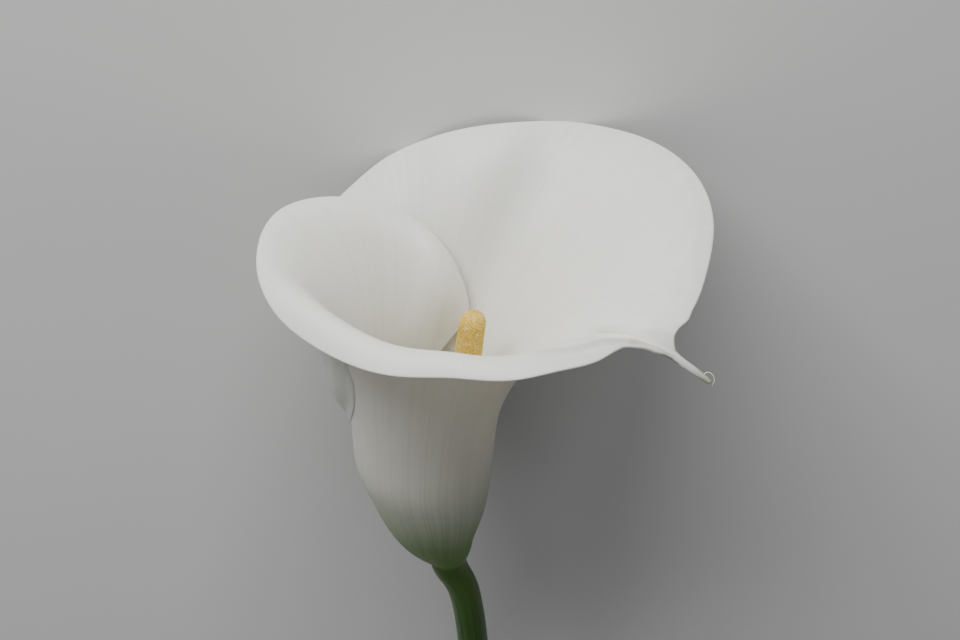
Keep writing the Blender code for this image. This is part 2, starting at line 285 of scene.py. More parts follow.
# The foot closes in over the end of the stem
FOOT_DROP = 0.0016
FOOT_RADIUS = 0.0036
FOOT_ROWS = 5
foot = middle[:, 0]
foot_axis = np.array([TUBE[0, 2], 0.0, 0.0])
foot_out = foot - foot_axis
foot_reach = np.linalg.norm(foot_out, axis=1, keepdims=True)
hem = []
for share in np.linspace(1, 0, FOOT_ROWS + 1)[:-1]:
    reach = FOOT_RADIUS + (foot_reach - FOOT_RADIUS) * math.cos(share * math.pi / 2)
    ring = foot_axis + foot_out / foot_reach * reach
    ring[:, 2] -= FOOT_DROP * math.sin(share * math.pi / 2)
    hem.append(ring)
middle = np.concatenate([np.stack(hem, axis=1), middle], axis=1)
across, along_sheet = middle.shape[:2]
NO_AREA = 1e-18                       # square metres, so that a cell without area has a normal


def grid_normals(grid):
    """Unit normals of a grid of points, from the diagonals of its cells."""
    cell = np.cross(grid[1:, 1:] - grid[:-1, :-1], grid[:-1, 1:] - grid[1:, :-1])
    total = np.zeros_like(grid)
    total[:-1, :-1] += cell
    total[1:, :-1] += cell
    total[:-1, 1:] += cell
    total[1:, 1:] += cell
    return unit(total + NO_AREA)


def line_distance(points, line):
    """Distance of each point from a line of straight pieces."""
    best = np.full(len(points), np.inf)
    for a, b in zip(line[:-1], line[1:]):
        piece = b - a
        share = np.clip((points - a) @ piece / (piece @ piece), 0, 1)
        best = np.minimum(best, np.linalg.norm(points - a - share[:, None] * piece, axis=1))
    return best


inward = grid_normals(middle)
flat = middle.reshape(-1, 3)

# Two soft folds that run into the tail and a short crease in from the rim, as places on the
# sheet: wrap angle, share of the flare. Each has its depth, and how far it fades at either end.
FOLDS = [
    ([(298, 0.705), (304, 0.745), (311.6, 0.785), (318, 0.812), (324, 0.840), (330, 0.874),
      (334, 0.905), (338, 0.930), (341.5, 0.943), (344, 0.952)], 0.00065, 0.010, 0.009),
    ([(345.3, 0.523), (348.4, 0.594), (348.0, 0.661), (347.6, 0.720), (347.0, 0.780),
      (347.0, 0.850)], 0.00065, 0.010, 0.007),
    ([(331.5, 1.000), (334.4, 0.981), (336.3, 0.966), (338.6, 0.948), (341.0, 0.930)],
     0.00018, 0.0004, 0.003),
]
FOLD_HALF = 0.00085
FOLD_POINTS = 60
SHOULDER = 0.45                       # height of the swelling on both sides, as a share of the depth
SHOULDER_AT = 2.0                     # how far out it lies, in halves of the fold's width
lift = np.zeros(len(flat))
# How far into the bottom of a fold each point lies, for the painted shade there
fold_shade_mask = np.zeros(len(flat))
for fold, fold_depth, fade_in, fade_out in FOLDS:
    spots = np.array(fold)
    walk = np.linspace(0, 1, FOLD_POINTS)
    keys = np.column_stack([np.linspace(0, 1, len(spots)), spots])
    line = spathe_surface(through(keys, 1, walk), np.ones(FOLD_POINTS), through(keys, 2, walk))
    gone = line_distance(flat, line)
    begun = smooth(np.linalg.norm(flat - line[0], axis=1) / fade_in)
    ended = smooth(np.linalg.norm(flat - line[-1], axis=1) / fade_out)
    valley = begun * ended * np.exp(-(gone / FOLD_HALF) ** 2)
    lift -= fold_depth * valley
    beside = np.exp(-((gone - SHOULDER_AT * FOLD_HALF) / FOLD_HALF) ** 2)
    lift += SHOULDER * fold_depth * begun * ended * beside
    fold_shade_mask = np.maximum(fold_shade_mask, valley)

# Slow swell of the whole limb and fine crinkles to the right of the mouth: height, and size across
SWELL = 0.00022
SWELL_SIZE = 0.016
SWELL_FULL = 0.4                      # share of the flare from which it is there in full
CRINKLE = 0.00026
CRINKLE_SIZE = 0.0032
CRINKLE_SHIFT = Vector((7, 3, 1))     # so that the crinkles don't repeat the swell
CRINKLED_WRAPS = [(345, 359), (425, 390)]              # they fade in between these on either side
CRINKLED_FLARE = [(0.45, 0.75), (1.0, 0.94)]
wrap_of = np.repeat(wraps, along_sheet)
row_flare = np.concatenate([np.zeros(len(hem) + len(tube_rows)), flare_rows])
flare_of = np.tile(row_flare, across)
crinkled = ramp(wrap_of, *CRINKLED_WRAPS[0]) * ramp(wrap_of, *CRINKLED_WRAPS[1])
crinkled *= ramp(flare_of, *CRINKLED_FLARE[0]) * ramp(flare_of, *CRINKLED_FLARE[1])
swell = np.array([noise.noise(Vector(p) / SWELL_SIZE) for p in flat])
crinkle = np.array([noise.noise(Vector(p) / CRINKLE_SIZE + CRINKLE_SHIFT) for p in flat])
lift += SWELL * swell * ramp(flare_of, 0.0, SWELL_FULL)
lift += CRINKLE * crinkle * crinkled
flat = flat + inward.reshape(-1, 3) * lift[:, None]
middle = flat.reshape(middle.shape)
inward = grid_normals(middle)

# Half the thickness: fleshy at the foot and along the midrib, thin and round at every free edge
FOOT_HALF = 0.00050
THINNER_LIMB = 0.00015
MIDRIB_HALF = 0.00016                 # what the midrib adds
MIDRIB_SPREAD = 3.0                   # degrees to each side
MIDRIB_FULL = 0.2                     # share of the flare from which it is there in full
ROUND_EDGE = 0.00042
EDGE_SPACING = 0.00025                # between the points that stand for the free edge
rim_line = middle[:, -1]
dense = []
for a, b in zip(rim_line[:-1], rim_line[1:]):
    pieces = max(1, int(np.linalg.norm(b - a) / EDGE_SPACING))
    dense += [a + (b - a) * k / pieces for k in range(pieces)]
free_edge = search_tree(np.concatenate([np.array(dense), middle[0], middle[-1]]))
to_edge = np.array([free_edge.find(p)[2] for p in flat])
sheet_half = FOOT_HALF - THINNER_LIMB * smooth(flare_of)
midrib = MIDRIB_HALF * np.exp(-((wrap_of - TAIL_WRAP) / MIDRIB_SPREAD) ** 2)
half = sheet_half + midrib * ramp(flare_of, 0.0, MIDRIB_FULL)
open_edge = np.clip(to_edge / ROUND_EDGE, 0, 1)
half = half * np.sqrt(1 - (1 - open_edge) ** 2)

inner_side = flat + inward.reshape(-1, 3) * half[:, None]
outer_side = flat - inward.reshape(-1, 3) * half[:, None]


def laid_down(points):
    """From the flower's own upright frame to the frame in which it lies on the floor."""
    x, y, z = np.moveaxis(np.asarray(points, float), -1, 0)
    cos, sin = math.cos(LEAN), math.sin(LEAN)
    low = np.stack([x, y * sin + z * cos, z * sin - y * cos], axis=-1) + FLOWER_ORIGIN
    low[..., 2] = np.maximum(low[..., 2], 0.0)
    return low


def mesh_object(name, points, faces):
    """New object in the scene, from points and faces."""
    data = bpy.data.meshes.new(name)
    data.from_pydata([tuple(p) for p in points], [], faces)
    data.validate()
    piece = bpy.data.objects.new(name, data)
    bpy.context.scene.collection.objects.link(piece)
    return piece


WELD = 1e-7


def tidy_normals(piece):
    """Welds points that meet and turns every face outward."""
    shape = bmesh.new()
    shape.from_mesh(piece.data)
    bmesh.ops.remove_doubles(shape, verts=shape.verts, dist=WELD)
    bmesh.ops.recalc_face_normals(shape, faces=shape.faces)
    shape.to_mesh(piece.data)
    shape.free()
    piece.data.shade_smooth()


def cell_faces(rows, columns, first, flip):
    """Quads of a grid whose points are numbered row by row from first."""
    i, j = np.meshgrid(np.arange(rows - 1), np.arange(columns - 1), indexing="ij")
    a = (first + i * columns + j).ravel()
    quads = np.stack([a, a + columns, a + columns + 1, a + 1], axis=1)
    return (quads[:, ::-1] if flip else quads).tolist()


count = across * along_sheet
faces = cell_faces(across, along_sheet, 0, False) + cell_faces(across, along_sheet, count, True)
border = ([i * along_sheet for i in range(across)]
          + [(across - 1) * along_sheet + j for j in range(1, along_sheet)]
          + [i * along_sheet + along_sheet - 1 for i in range(across - 2, -1, -1)]
          + list(range(along_sheet - 2, 0, -1)))
for a, b in zip(border, border[1:] + border[:1]):
    faces.append((a, b, b + count, a + count))
spathe = mesh_object("spathe_leaf", laid_down(np.concatenate([inner_side, outer_side])), faces)

# What the shader needs to know of each point: its place on the sheet, how green it is there, and how far
# into a fold it lies. The green at the foot is partly painted shade.
GREEN_AND_SHADE_FOOT = (0.003, 0.060)           # heights at which the green, partly painted shade, begins to fade, and has gone
GREEN_TAIL = (0.004, 0.015)           # ways down the tail at which it begins, and is there in full
GREEN_FLARE = (0.6, 0.9)              # shares of the flare between which it begins
GREEN_SPREAD = 4.0                    # degrees to each side of the tail
TIP_GREEN = 0.75                      # as a share of the green at the foot
tail_way = unit(ROOT * ROOT_WAY + FINGER * FINGER_WAY)
tail_root = heading(TAIL_WRAP) * through(RIM, 1, TAIL_WRAP)
tail_root[2] = through(RIM, 2, TAIL_WRAP)
down_tail = (flat - tail_root) @ tail_way
near_tail = np.exp(-((wrap_of - TAIL_WRAP) / GREEN_SPREAD) ** 2) * ramp(flare_of, *GREEN_FLARE)
# Greener towards the foot: the bloom's own green base, made deeper and carried higher as painted shade at
# the foot
green_and_shade_foot = 1 - ramp(flat[:, 2], *GREEN_AND_SHADE_FOOT)
green_tip = ramp(down_tail, *GREEN_TAIL) * near_tail
up_sheet = np.cumsum(np.linalg.norm(np.diff(middle, axis=1), axis=2), axis=1)
place = np.zeros((len(flat), 3))
place[:, 0] = (wrap_of - INNER_WRAP) / (OUTER_WRAP - INNER_WRAP)
place[:, 1] = np.concatenate([np.zeros((across, 1)), up_sheet], axis=1).ravel()


def keep_values(piece, name, kind, values):
    """Keeps a value or a vector for each point of a mesh, for its material."""
    layer = piece.data.attributes.new(name, kind, "POINT")
    layer.data.foreach_set("vector" if kind == "FLOAT_VECTOR" else "value",
                           np.asarray(values, np.float32).ravel())


keep_values(spathe, "place", "FLOAT_VECTOR", np.concatenate([place, place]))
keep_values(spathe, "green", "FLOAT", np.tile(np.maximum(green_and_shade_foot, TIP_GREEN * green_tip), 2))
keep_values(spathe, "fold_shade_mask", "FLOAT", np.tile(fold_shade_mask, 2))
tidy_normals(spathe)


def group(name, inputs, outputs):
    """An empty node group with its sockets, its input node and its output node."""
    tree = bpy.data.node_groups.new(name, "ShaderNodeTree")
    for label, kind, value in inputs:
        socket = tree.interface.new_socket(label, in_out="INPUT", socket_type=kind)
        if value is not None:
            socket.default_value = value
    for label, kind in outputs:
        tree.interface.new_socket(label, in_out="OUTPUT", socket_type=kind)
    return tree, tree.nodes.new("NodeGroupInput"), tree.nodes.new("NodeGroupOutput")


def plain(tree, kind, operation=None, **values):
    """One node. values are set on its sockets by name, with spaces written as underscores."""
    node = tree.nodes.new("ShaderNode" + kind)
    if operation:
        node.operation = operation
    for label, value in values.items():
        node.inputs[label.replace("_", " ")].default_value = value
    return node


# Fibres: fine lines that run the length of a leaf or stalk. Place is across and along.
FIBRE_LOW = 0.25                      # noise below this is no line
FIBRE_SHARPER = 0.3                   # how far full sharpness raises that
FIBRE_HIGH = 0.66                     # noise above this is all line
fibres, given, result = group(
    "plant_fibres",
    [("Place", "NodeSocketVector", None), ("Across", "NodeSocketFloat", 200.0),
     ("Along", "NodeSocketFloat", 20.0), ("Sharpness", "NodeSocketFloat", 0.5)],
    [("Lines", "NodeSocketFloat")])
stretch = plain(fibres, "CombineXYZ")
split = plain(fibres, "SeparateXYZ")
times_across = plain(fibres, "Math", "MULTIPLY")
times_along = plain(fibres, "Math", "MULTIPLY")
streaks = plain(fibres, "TexNoise", Scale=1.0, Detail=3.0, Roughness=0.55)
low_end = plain(fibres, "Math", "MULTIPLY_ADD")
low_end.inputs[1].default_value = FIBRE_SHARPER
low_end.inputs[2].default_value = FIBRE_LOW
contrast = plain(fibres, "MapRange")
contrast.interpolation_type = "SMOOTHSTEP"
contrast.inputs["From Max"].default_value = FIBRE_HIGH
fibres.links.new(given.outputs["Place"], split.inputs[0])
fibres.links.new(split.outputs["X"], times_across.inputs[0])
fibres.links.new(given.outputs["Across"], times_across.inputs[1])
fibres.links.new(split.outputs["Y"], times_along.inputs[0])
fibres.links.new(given.outputs["Along"], times_along.inputs[1])
fibres.links.new(times_across.outputs[0], stretch.inputs["X"])
fibres.links.new(times_along.outputs[0], stretch.inputs["Y"])
fibres.links.new(stretch.outputs[0], streaks.inputs["Vector"])
fibres.links.new(given.outputs["Sharpness"], low_end.inputs[0])
fibres.links.new(low_end.outputs[0], contrast.inputs["From Min"])
fibres.links.new(streaks.outputs["Fac"], contrast.inputs["Value"])
fibres.links.new(contrast.outputs["Result"], result.inputs["Lines"])

# Cells: the tiny pillows of a plant's skin. Size is the width of one, in metres.
cells, given, result = group(
    "skin_cells",
    [("Vector", "NodeSocketVector", None), ("Size", "NodeSocketFloat", 0.0004)],
    [("Pillows", "NodeSocketFloat")])
per_metre = plain(cells, "Math", "DIVIDE")
per_metre.inputs[0].default_value = 1.0
pillows = plain(cells, "TexVoronoi", Randomness=0.9)
pillows.feature = "F1"
turned = plain(cells, "Math", "SUBTRACT")
turned.inputs[0].default_value = 1.0
cells.links.new(given.outputs["Size"], per_metre.inputs[1])
cells.links.new(given.outputs["Vector"], pillows.inputs["Vector"])
cells.links.new(per_metre.outputs[0], pillows.inputs["Scale"])
cells.links.new(pillows.outputs["Distance"], turned.inputs[1])
cells.links.new(turned.outputs[0], result.inputs["Pillows"])


def material(name, piece, roughness, specular=0.5):
    """New material on a piece, as its node tree and its Principled shader."""
    made = bpy.data.materials.new(name)
    made.use_nodes = True
    tree = made.node_tree
    shader = tree.nodes["Principled BSDF"]
    shader.inputs["Roughness"].default_value = roughness
    shader.inputs["Specular IOR Level"].default_value = specular
    piece.data.materials.append(made)
    return tree, shader


def placed(tree, group_tree, **values):
    """A node group in a material, with its own values."""
    node = tree.nodes.new("ShaderNodeGroup")
    node.node_tree = group_tree
    for label, value in values.items():
        node.inputs[label].default_value = value
    return node


def kept(tree, name):
    """The values that keep_values kept under this name."""
    node = tree.nodes.new("ShaderNodeAttribute")
    node.attribute_name = name
    return node


def blend_colour(tree, factor, low, high):
    """Mix of two colours. Each is a colour or an output socket."""
    node = tree.nodes.new("ShaderNodeMix")
    node.data_type = "RGBA"
    tree.links.new(factor, node.inputs["Factor"])
    sockets = [s for s in node.inputs if s.type == "RGBA"]
    for socket, value in zip(sockets, (low, high)):
        if isinstance(value, tuple):
            socket.default_value = (*value, 1.0)
        else:
            tree.links.new(value, socket)
    return [s for s in node.outputs if s.type == "RGBA"][0]


def mapped(tree, value, **ends):
    """A value carried from one range to another."""
    node = plain(tree, "MapRange", **ends)
    tree.links.new(value, node.inputs["Value"])
    return node.outputs["Result"]


def bumped(tree, shader, *layers):
    """Bumps, one over the other. Each is its height, its strength and its depth in metres."""
    below = None
    for height, strength, depth in layers:
        bump = plain(tree, "Bump", Strength=strength, Distance=depth)
        tree.links.new(height, bump.inputs["Height"])
        if below:
            tree.links.new(below, bump.inputs["Normal"])
        below = bump.outputs["Normal"]
    tree.links.new(below, shader.inputs["Normal"])


def fleshy(shader, weight, radius, scale):
    """Lets light into the flesh: how much, how far for each colour, and the scale of that."""
    shader.inputs["Subsurface Weight"].default_value = weight
    shader.inputs["Subsurface Radius"].default_value = radius
    shader.inputs["Subsurface Scale"].default_value = scale


WHITE = (0.84, 0.83, 0.77)
WHITE_VEIN = (0.805, 0.795, 0.715)
# Green of the foot, the tail and the rib; at the foot it also serves as painted shade
GREEN = (0.14, 0.26, 0.05)
GREEN_VEIN = 0.11                     # how much greener the veins are
PAINTED_FOLD_SHADE = (0.52, 0.52, 0.42)          # painted shade at the bottom of a fold
FOLD_SHADE_AMOUNT = 0.42
tree, shader = material("calla_spathe", spathe, roughness=0.46)
where = kept(tree, "place")
veins = placed(tree, fibres, Across=330.0, Along=9.0, Sharpness=0.55)
tree.links.new(where.outputs["Vector"], veins.inputs["Place"])
object_place = plain(tree, "TexCoord")
skin = placed(tree, cells, Size=0.00035)
tree.links.new(object_place.outputs["Object"], skin.inputs["Vector"])
fresh = blend_colour(tree, veins.outputs["Lines"], WHITE, WHITE_VEIN)
# Painted shade: the bottoms of the folds are darkened in the colour, as shade lies in them
fold_shade_part = plain(tree, "Math", "MULTIPLY")
fold_shade_part.inputs[1].default_value = FOLD_SHADE_AMOUNT
tree.links.new(kept(tree, "fold_shade_mask").outputs["Fac"], fold_shade_part.inputs[0])
ivory_and_fold_shade = blend_colour(tree, fold_shade_part.outputs[0], fresh, PAINTED_FOLD_SHADE)
green = kept(tree, "green")
veined_green = plain(tree, "Math", "MULTIPLY_ADD")
veined_green.inputs[1].default_value = GREEN_VEIN
veined_green.use_clamp = True
tree.links.new(veins.outputs["Lines"], veined_green.inputs[0])
tree.links.new(green.outputs["Fac"], veined_green.inputs[2])
only_green = plain(tree, "Math", "MULTIPLY")
tree.links.new(veined_green.outputs[0], only_green.inputs[0])
tree.links.new(green.outputs["Fac"], only_green.inputs[1])
tinted = blend_colour(tree, only_green.outputs[0], ivory_and_fold_shade, GREEN)
tree.links.new(tinted, shader.inputs["Base Color"])
fleshy(shader, weight=0.35, radius=(1.0, 0.85, 0.6), scale=0.0016)
bumped(tree, shader, (veins.outputs["Lines"], 0.16, 0.00008), (skin.outputs["Pillows"], 0.25, 0.00003))
patches = plain(tree, "TexNoise", Scale=90.0, Detail=3.0)
tree.links.new(object_place.outputs["Object"], patches.inputs["Vector"])
gloss = mapped(tree, patches.outputs["Fac"], From_Min=0.3, From_Max=0.7, To_Min=0.40, To_Max=0.54)
tree.links.new(gloss, shader.inputs["Roughness"])
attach(spathe, "root")
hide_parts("spathe")


# The rib of the tail: the midrib of the leaf, which leaves the rim as a round finger with a blunt
# tip. It is the same flesh as the leaf and sinks into it further up. The table gives the way from
# the tip, the radius there and how far the middle is raised in the gutter between the two sides.
RIB = np.array([(0.0, 0.00058, 0.0), (0.003, 0.00072, 0.0), (0.007, 0.00088, 0.00015),
                (0.010, 0.00102, 0.00050), (0.013, 0.00108, 0.00080), (0.0165, 0.00104, 0.00085),
                (0.021, 0.00092, 0.00090), (0.025, 0.00076, 0.00085), (0.030, 0.00048, 0.00060),
                (0.035, 0.00015, 0.00040)])
RIB_RAISED = np.array([0.0, 0.64, 0.77])
RIB_BLUNT = 0.0006                    # length of the rounded tip
RIB_END = 0.02                        # share of that length at which its last ring lies
RIB_SIDES = 32
RIB_RINGS = 150
RIB_CROWDING = 1.5                    # over 1, rings lie closer towards the tip
RIB_GREEN = 0.0145                    # way from the tip over which the green fades
RIB_GREEN_POWER = 1.5                 # over 1, it fades sooner
RIB_VEINS = 0.03                      # share of the sheet's width whose veins run along it
MIDRIB_POINTS = 800
MIDRIB_TO = 0.45                      # share of the flare that its line is followed down to


def rings_round(line, radius, sides, side_hint):
    """Rings of points round a line, which keep facing the same way as it bends."""
    way = unit(np.gradient(line, axis=0))
    across_way = unit(np.cross(way, np.asarray(side_hint, float)))
    other = np.cross(way, across_way)
    turn = np.linspace(0, 2 * math.pi, sides, endpoint=False)
    ring = (np.cos(turn)[:, None, None] * across_way + np.sin(turn)[:, None, None] * other)
    return line + ring * np.asarray(radius)[..., None]


def tube_faces(sides, rings):
    """Quads between rings, point i * rings + j being side i of ring j, and both end caps."""
    faces = []
    for i in range(sides):
        a, b = i * rings, (i + 1) % sides * rings
        faces += [(a + j, b + j, b + j + 1, a + j + 1) for j in range(rings - 1)]
    faces.append(tuple(i * rings for i in reversed(range(sides))))
    faces.append(tuple(i * rings + rings - 1 for i in range(sides)))
    return faces


tail_line = spathe_surface(TAIL_WRAP, 1.0, np.linspace(1.0, MIDRIB_TO, MIDRIB_POINTS))
tail_tip = tail_line[0]
walked = np.concatenate([[0.0], np.cumsum(np.linalg.norm(np.diff(tail_line, axis=0), axis=1))])
from_tip = np.linspace(0, 1, RIB_RINGS) ** RIB_CROWDING * RIB[-1, 0]
rib_line = np.stack([np.interp(from_tip, walked, tail_line[:, k]) for k in range(3)], axis=-1)
rib_line = rib_line + through(RIB, 2, from_tip)[:, None] * RIB_RAISED
blunt = np.clip(from_tip / RIB_BLUNT, RIB_END, 1)
rib_radius = through(RIB, 1, from_tip) * np.sqrt(1 - (1 - blunt) ** 2)
points = rings_round(rib_line, np.tile(rib_radius, (RIB_SIDES, 1)), RIB_SIDES, side_hint=(0.0, 1.0, 0.3))
rib = mesh_object("tail_rib", laid_down(points).reshape(-1, 3), tube_faces(RIB_SIDES, RIB_RINGS))
rib_place = np.zeros((RIB_SIDES, RIB_RINGS, 3))
rib_place[..., 0] = np.linspace(0, RIB_VEINS, RIB_SIDES)[:, None]
rib_place[..., 1] = -from_tip
rib_green = TIP_GREEN * ramp(from_tip, RIB_GREEN, 0.0) ** RIB_GREEN_POWER
keep_values(rib, "place", "FLOAT_VECTOR", rib_place.reshape(-1, 3))
keep_values(rib, "green", "FLOAT", np.tile(rib_green, RIB_SIDES))
tidy_normals(rib)
rib.data.materials.append(spathe.data.materials[0])
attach(rib, "root")


# The curl of the tail: the dried last thread of the midrib, thin as a hair. It springs from the
# tail just before its tip, loops over it and hooks round. Its points are measured from the tip.
CURL = np.array([
    (-0.00190, 0.00030, 0.00080), (-0.00179, 0.00066, 0.00134), (-0.00152, 0.00107, 0.00182),
    (-0.00097, 0.00138, 0.00212), (-0.00034, 0.00145, 0.00206), (0.00027, 0.00127, 0.00174),
    (0.00070, 0.00096, 0.00127), (0.00092, 0.00061, 0.00072), (0.00087, 0.00029, 0.00026),
    (0.00065, 0.00005, -0.00010), (0.00046, -0.00019, -0.00041), (0.00056, -0.00039, -0.00062),
])
CURL_RADIUS = 0.00017
CURL_TAPER = 0.6                      # share of the radius that is gone at the end
CURL_SIDES = 8
CURL_RINGS = 64
DRY = (0.66, 0.63, 0.46)
DRY_PALE = (0.78, 0.75, 0.58)


def along(points, share):
    """Smooth curve through a list of points, at shares of its length from 0 to 1."""
    lengths = np.linalg.norm(np.diff(points, axis=0), axis=1)
    at = np.concatenate([[0.0], np.cumsum(lengths)])
    keys = np.column_stack([at / at[-1], points])
    return np.stack([through(keys, column, share) for column in (1, 2, 3)], axis=-1)


share = np.linspace(0, 1, CURL_RINGS)
thread = along(CURL, share) + tail_tip
thread_radius = CURL_RADIUS * (1 - CURL_TAPER * share) * np.ones((CURL_SIDES, 1))
points = rings_round(thread, thread_radius, CURL_SIDES, side_hint=(0.31, 0.64, -0.70))
curl = mesh_object("tail_curl", laid_down(points).reshape(-1, 3), tube_faces(CURL_SIDES, CURL_RINGS))
tidy_normals(curl)
tree, shader = material("dry_thread", curl, roughness=0.6)
dry = plain(tree, "TexNoise", Scale=1500.0, Detail=2.0)
browned = blend_colour(tree, dry.outputs["Fac"], DRY, DRY_PALE)
tree.links.new(browned, shader.inputs["Base Color"])
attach(curl, "root")


# The spadix: the flower spike inside, a fleshy finger packed with tiny florets in steep spirals,
# dusted with pollen. It stands on the end of the stem, in the throat of the spathe.
SPADIX_LINE = np.array([(-0.0012, 0.0, -0.0003), (0.0008, 0.0010, 0.030), (0.0034, 0.0021, 0.058),
                        (0.0059, 0.0030, 0.0806)])
SPADIX_WIDTH = np.array([(0.0, 0.0027), (0.10, 0.0036), (0.50, 0.0037), (1.0, 0.0032)])
CORE_POINTS = 1200                    # along its middle, to measure its length
SPADIX_SIDES = 160
SPADIX_RINGS = 400
CAP_RINGS = 33
CAP_LONG = 1.05                       # length of the round tip, in radii
CAP_END = 0.004                       # radius of its last ring, in radii
FLORET_AREA = 0.62e-6                 # square metres of skin for each
FLORET_RISE = 0.00022
FLORET_SUNK = 0.00012                 # how far the skin between them lies below the width given
FLORET_REACH = 0.62                   # radius of one, as a share of its patch's side
FLORET_STRAY = 0.022                  # how far they lie beside their spirals, in radians
FLORET_SEED = 5
FLORET_SIZES = (0.82, 1.12)
GOLDEN_TURN = math.radians(137.50776)
FLORET_DARK = (0.72, 0.46, 0.06)
FLORET_LIGHT = (0.80, 0.56, 0.12)
FLORET_GAP_SHADE = (0.50, 0.30, 0.04)
POLLEN = (0.93, 0.80, 0.42)

core = along(SPADIX_LINE, np.linspace(0, 1, CORE_POINTS))
spadix_length = np.linalg.norm(np.diff(core, axis=0), axis=1).sum()
cap_start = 1 - SPADIX_WIDTH[-1, 1] * CAP_LONG / spadix_length
body_share = np.linspace(0, cap_start, SPADIX_RINGS)
cap_turn = np.linspace(0, math.pi / 2, CAP_RINGS + 1)[1:]
share = np.concatenate([body_share, cap_start + (1 - cap_start) * np.sin(cap_turn)])
width = np.interp(share, *SPADIX_WIDTH.T)
width[len(body_share):] *= np.maximum(np.cos(cap_turn), CAP_END)
line = along(SPADIX_LINE, share)
turn = np.linspace(0, 2 * math.pi, SPADIX_SIDES, endpoint=False)
ring_way = np.stack([np.cos(turn), np.sin(turn), np.zeros_like(turn)], axis=-1)
points = line[None, :] + ring_way[:, None] * width[None, :, None]

# One floret for each equal patch of skin, a golden turn from the last
steps = np.hypot(np.diff(width), np.linalg.norm(np.diff(line, axis=0), axis=1))
area = np.concatenate([[0.0], np.cumsum(steps * math.pi * (width[1:] + width[:-1]))])
florets = int(area[-1] / FLORET_AREA)
order = (np.arange(florets) + 0.5) * FLORET_AREA
floret_share = np.interp(order, area, share)
floret_width = np.interp(order, area, width)
chance = np.random.default_rng(FLORET_SEED)
floret_turn = np.arange(florets) * GOLDEN_TURN + chance.normal(0, FLORET_STRAY, florets)
floret_at = along(SPADIX_LINE, floret_share)
floret_at[:, 0] += np.cos(floret_turn) * floret_width
floret_at[:, 1] += np.sin(floret_turn) * floret_width
floret_size = chance.uniform(*FLORET_SIZES, florets)
middles = search_tree(floret_at)
flat_points = points.reshape(-1, 3)
found = [middles.find(p) for p in flat_points]
nearest = np.array([f[1] for f in found])
gone = np.array([f[2] for f in found])
reach = math.sqrt(FLORET_AREA) * FLORET_REACH
crown = np.sqrt(np.clip(1 - (gone / reach) ** 2, 0, 1))
rise = FLORET_RISE * crown * floret_size[nearest]
outward = np.repeat(ring_way, len(share), axis=0).reshape(SPADIX_SIDES, len(share), 3).copy()
tipward = np.concatenate([np.zeros(len(body_share)), np.sin(cap_turn)])
outward = outward * np.sqrt(1 - tipward**2)[None, :, None]
outward = outward + unit(SPADIX_LINE[-1] - SPADIX_LINE[-2]) * tipward[None, :, None]
flat_points = flat_points + outward.reshape(-1, 3) * (rise - FLORET_SUNK)[:, None]
spadix = mesh_object("spadix_florets", laid_down(flat_points), tube_faces(SPADIX_SIDES, len(share)))
keep_values(spadix, "crown", "FLOAT", crown)
keep_values(spadix, "floret", "FLOAT", chance.uniform(0, 1, florets)[nearest])
tidy_normals(spadix)

tree, shader = material("floret_yellow", spadix, roughness=0.72, specular=0.3)
crown_value = kept(tree, "crown")
floret_value = kept(tree, "floret")
young = blend_colour(tree, floret_value.outputs["Fac"], FLORET_DARK, FLORET_LIGHT)
# Painted shade: the skin between the florets is darker, as shade lies in the gaps
lit = mapped(tree, crown_value.outputs["Fac"], From_Min=0.15, From_Max=0.95)
shaded = blend_colour(tree, lit, FLORET_GAP_SHADE, young)
object_place = plain(tree, "TexCoord")
grains = placed(tree, cells, Size=0.00014)
tree.links.new(object_place.outputs["Object"], grains.inputs["Vector"])
dust_noise = plain(tree, "TexNoise", Scale=900.0, Detail=4.0, Roughness=0.7)
tree.links.new(object_place.outputs["Object"], dust_noise.inputs["Vector"])
dusty = mapped(tree, dust_noise.outputs["Fac"], From_Min=0.52, From_Max=0.70, To_Max=0.7)
dusted = blend_colour(tree, dusty, shaded, POLLEN)
tree.links.new(dusted, shader.inputs["Base Color"])
fleshy(shader, weight=0.15, radius=(1.0, 0.6, 0.2), scale=0.0006)
bumped(tree, shader, (grains.outputs["Pillows"], 0.6, 0.00006))
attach(spadix, "root")
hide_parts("spadix")


# The stem: a smooth round stalk of firm green flesh with a spongy pith, cut off straight. The
# bloom grows on its upper end, where it swells a little and turns pale.
STEM_LINE = np.array([
    (-0.0010, 0.0, -0.0009), (-0.0008, 0.0, -0.0025), (0.0009, 0.0, -0.0070),
    (0.0028, 0.0, -0.0120), (0.0040, 0.0, -0.0180), (0.0051, 0.0, -0.0280),
    (0.0062, 0.0, -0.0450), (0.0078, 0.0002, -0.0850), (0.0078, 0.0010, -0.1350),
    (0.0058, 0.00158, -0.1880),
])
STEM_RADIUS = np.array([(0, 0.0048), (0.035, 0.0042), (0.10, 0.0040), (1, 0.0041)])
STEM_SIDES = 72
STEM_RINGS = 220
STEM_CROWDING = 1.15                  # over 1, rings lie closer towards the bloom
STEM_RIBS = [(11, 0.00004, 0.0), (17, 0.00003, 1.0)]   # number round it, height, turn in radians
STEM_RIBS_FULL = 0.1                  # share of the length from which they are there in full
# Painted shade: these greens are darkened well below the stalk's own mid green, as the stalk lies in shade
STEM_GREEN_AND_SHADE = (0.036, 0.090, 0.014)
STEM_STREAK_AND_SHADE = (0.062, 0.140, 0.027)
STEM_PALE_AND_SHADE = (0.10, 0.19, 0.036)
PITH_PORE = (0.30, 0.38, 0.16)
PITH = (0.62, 0.66, 0.42)

